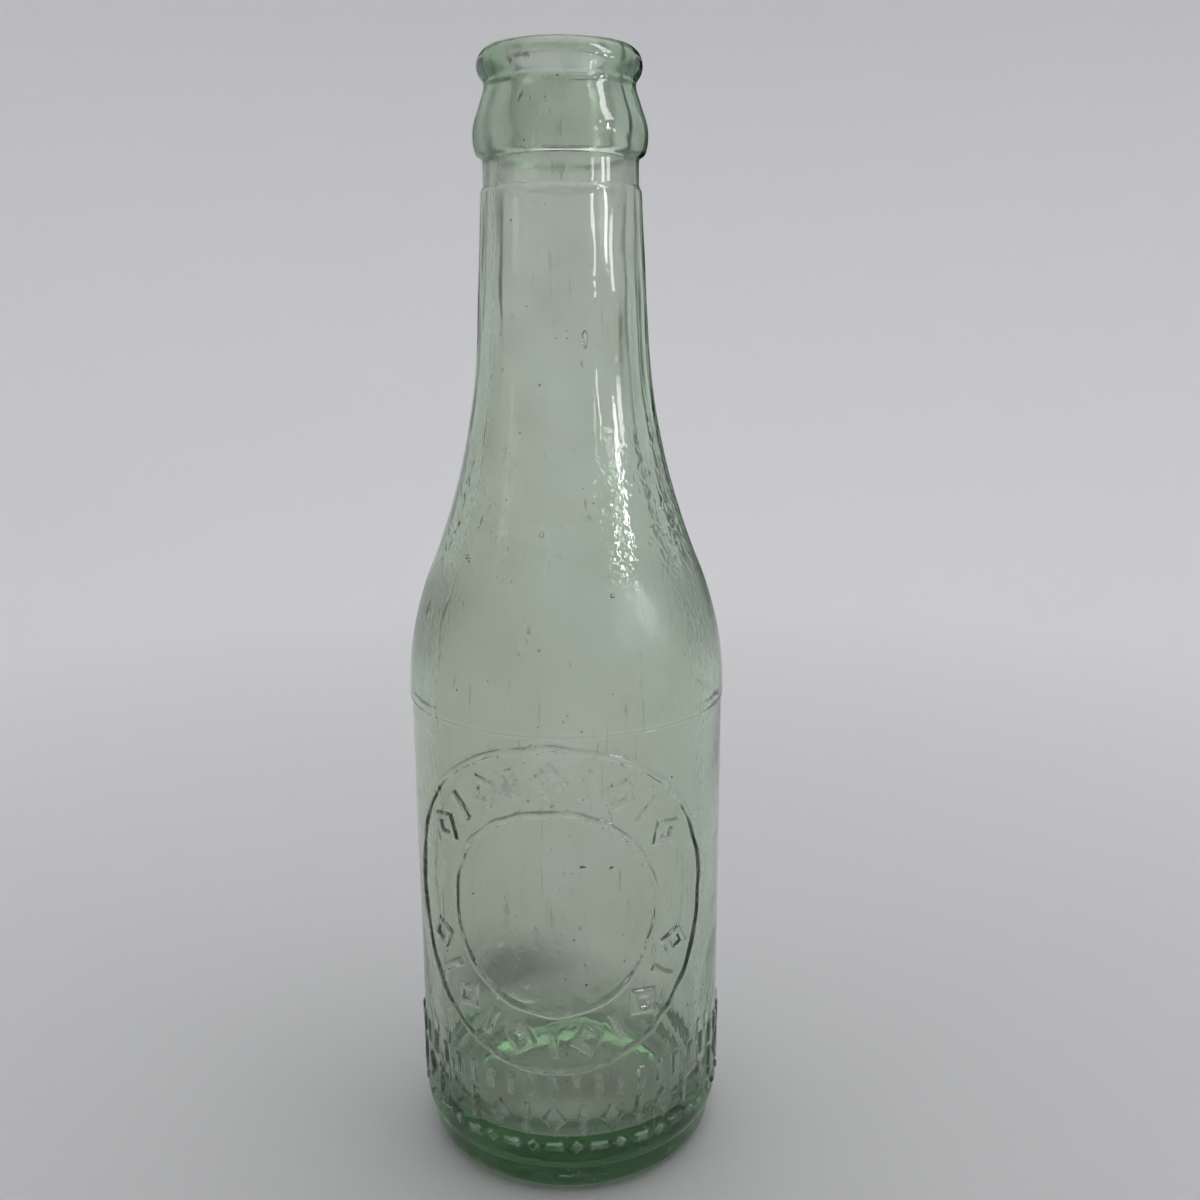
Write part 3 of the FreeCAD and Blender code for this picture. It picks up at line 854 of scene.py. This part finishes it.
def card(name, azimuth, distance, low, high, width, strength):
    """An upright card facing the bottle, seen only in the glass: white light, or a black flag."""
    angle = math.radians(azimuth)
    side = Vector((math.cos(angle), math.sin(angle), 0)) * width / 2
    foot = around(azimuth, distance, low)
    head = around(azimuth, distance, high)
    mesh = bpy.data.meshes.new(name)
    mesh.from_pydata([foot - side, foot + side, head + side, head - side], [], [(0, 1, 2, 3)])
    made, tree, output = material(name)
    glow = tree.nodes.new("ShaderNodeEmission")
    set_inputs(glow, Color=(1, 1, 1, 1), Strength=strength)
    tree.links.new(glow.outputs["Emission"], output.inputs["Surface"])
    piece = bpy.data.objects.new(name, mesh)
    bpy.context.collection.objects.link(piece)
    piece.data.materials.append(made)
    show_only_in_glass(piece)
    return piece


def soft_disc(name, middle, radius, grey, density):
    """A level round patch of even brightness with soft edges, seen only in the glass."""
    mesh = bpy.data.meshes.new(name)
    corners = [(-radius, -radius, 0), (radius, -radius, 0), (radius, radius, 0), (-radius, radius, 0)]
    mesh.from_pydata(corners, [], [(0, 1, 2, 3)])
    made, tree, output = material(name)
    glow = tree.nodes.new("ShaderNodeEmission")
    set_inputs(glow, Color=(1, 1, 1, 1), Strength=grey)
    clear = tree.nodes.new("ShaderNodeBsdfTransparent")
    spot = tree.nodes.new("ShaderNodeTexCoord")
    mapping = tree.nodes.new("ShaderNodeMapping")
    mapping.inputs["Scale"].default_value = (1 / radius, 1 / radius, 1 / radius)
    fall = tree.nodes.new("ShaderNodeTexGradient")
    fall.gradient_type = "QUADRATIC_SPHERE"
    spread = tree.nodes.new("ShaderNodeMapRange")
    spread.inputs["From Max"].default_value = 0.6
    spread.inputs["To Max"].default_value = density
    mix = tree.nodes.new("ShaderNodeMixShader")
    tree.links.new(spot.outputs["Object"], mapping.inputs["Vector"])
    tree.links.new(mapping.outputs["Vector"], fall.inputs["Vector"])
    tree.links.new(fall.outputs["Fac"], spread.inputs["Value"])
    tree.links.new(spread.outputs["Result"], mix.inputs["Fac"])
    tree.links.new(clear.outputs["BSDF"], mix.inputs[1])
    tree.links.new(glow.outputs["Emission"], mix.inputs[2])
    tree.links.new(mix.outputs["Shader"], output.inputs["Surface"])
    piece = bpy.data.objects.new(name, mesh)
    piece.location = middle
    bpy.context.collection.objects.link(piece)
    piece.data.materials.append(made)
    show_only_in_glass(piece)


# name, azimuth, distance, foot, head, width, strength: strips of window light
WINDOW_CARDS = (
    ("window_near", 46, 0.50, 0.195, 0.252, 0.020, 10),
    ("window_middle", 66, 0.50, 0.208, 0.246, 0.045, 13),
    ("window_far", 74, 0.50, 0.188, 0.230, 0.045, 9),
    ("window_top_near", 53, 0.50, 0.300, 0.345, 0.022, 18),
    ("window_top_far", 66, 0.50, 0.240, 0.310, 0.024, 20),
    ("window_high", 70, 0.50, 0.360, 0.950, 0.120, 9),
    ("window_left", -63, 0.50, 0.20, 0.30, 0.05, 1.5),
)
LAMP_SIZE = 2.4
LAMP_POWER = 17.5
LAMP_PLACE = (0.45, 0.30, 1.70)
ROOM_COLOUR = (0.95, 0.96, 1.0, 1)
ROOM_STRENGTH = 0.45
BLACK = 0


def make_window():
    """The bright strips that the glass shows as highlights."""
    for name, azimuth, distance, foot, head, width, strength in WINDOW_CARDS:
        card(name, azimuth, distance, foot, head, width, strength)


def make_flags():
    """Black cards that draw the glass's dark edges. The front one only casts a faint shade."""
    card("flag_right", 148, 0.60, low=0.0, high=0.9, width=0.12, strength=BLACK)
    edge = card("flag_edge", 163, 0.60, low=0.0, high=0.9, width=0.25, strength=BLACK)
    edge.visible_transmission = False
    card("flag_left", -153, 0.60, low=0.13, high=0.9, width=0.065, strength=BLACK)
    card("flag_top", 180, 0.90, low=0.75, high=1.15, width=1.60, strength=BLACK)
    front = card("flag_front", 0, 0.32, low=0.26, high=0.70, width=0.8, strength=BLACK)
    front.visible_diffuse = True
    front.visible_shadow = True
    front.visible_glossy = False
    front.visible_transmission = False


def make_discs():
    """A painted shade behind the bottle's foot, a painted pool of light under it and a lit ceiling.
    """
    soft_disc("floor_shade", (-0.018, 0.047, 0.0005), radius=0.034, grey=0.10, density=0.75)
    # Painted light: a glowing patch under the bottle that stands in for light coming through the
    # glass.
    soft_disc("floor_glow", (0, 0, 0.0002), radius=0.060, grey=0.23, density=0.8)
    soft_disc("ceiling", (0.2, 0.2, 1.7), radius=2.0, grey=1.8, density=1.0)


def make_lamp():
    """The broad soft light over the scene, and the pale room round it."""
    overhead = bpy.data.lights.new("overhead", "AREA")
    overhead.shape = "DISK"
    overhead.size = LAMP_SIZE
    overhead.energy = LAMP_POWER
    lamp = bpy.data.objects.new("overhead", overhead)
    lamp.location = LAMP_PLACE
    lamp.visible_camera = False
    lamp.visible_glossy = False
    lamp.visible_transmission = False
    bpy.context.collection.objects.link(lamp)
    world = bpy.data.worlds.new("room")
    world.use_nodes = True
    background = world.node_tree.nodes["Background"]
    background.inputs["Color"].default_value = ROOM_COLOUR
    background.inputs["Strength"].default_value = ROOM_STRENGTH
    bpy.context.scene.world = world


# ---------------------------------------------------------------------------------------
# Camera: close to the bottle, above its shoulder and tilted down
# ---------------------------------------------------------------------------------------
SENSOR_WIDTH = 36.0
FOCAL_LENGTH = 37.8
CAMERA_PLACE = (0.00598, -0.21515, 0.1540)
CAMERA_TILT = 76.05
CAMERA_ROLL = -0.33


def make_camera():
    data = bpy.data.cameras.new("camera")
    data.sensor_width = SENSOR_WIDTH
    data.lens = FOCAL_LENGTH
    data.clip_start = 0.01
    data.clip_end = 20
    camera = bpy.data.objects.new("camera", data)
    tilt = Matrix.Rotation(math.radians(CAMERA_TILT), 4, "X")
    roll = Matrix.Rotation(math.radians(CAMERA_ROLL), 4, "Z")
    camera.matrix_world = Matrix.Translation(CAMERA_PLACE) @ tilt @ roll
    bpy.context.collection.objects.link(camera)
    bpy.context.scene.camera = camera


make_camera()
make_sweep()
make_window()
make_flags()
make_discs()
make_lamp()
bpy.context.scene.view_settings.view_transform = "Standard"
bpy.context.scene.cycles.max_bounces = 16
bpy.context.scene.cycles.transmission_bounces = 16
bpy.context.scene.cycles.glossy_bounces = 8

bottle = make_bottle()
bottle.data.materials.append(bottle_glass_material())
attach(bottle, "root")
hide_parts(GLASS_NODE, *RELIEF_NODES)

seed_bubbles = make_seed_bubbles()
seed_bubbles.data.materials.append(bubble_material())
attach(seed_bubbles, "root")
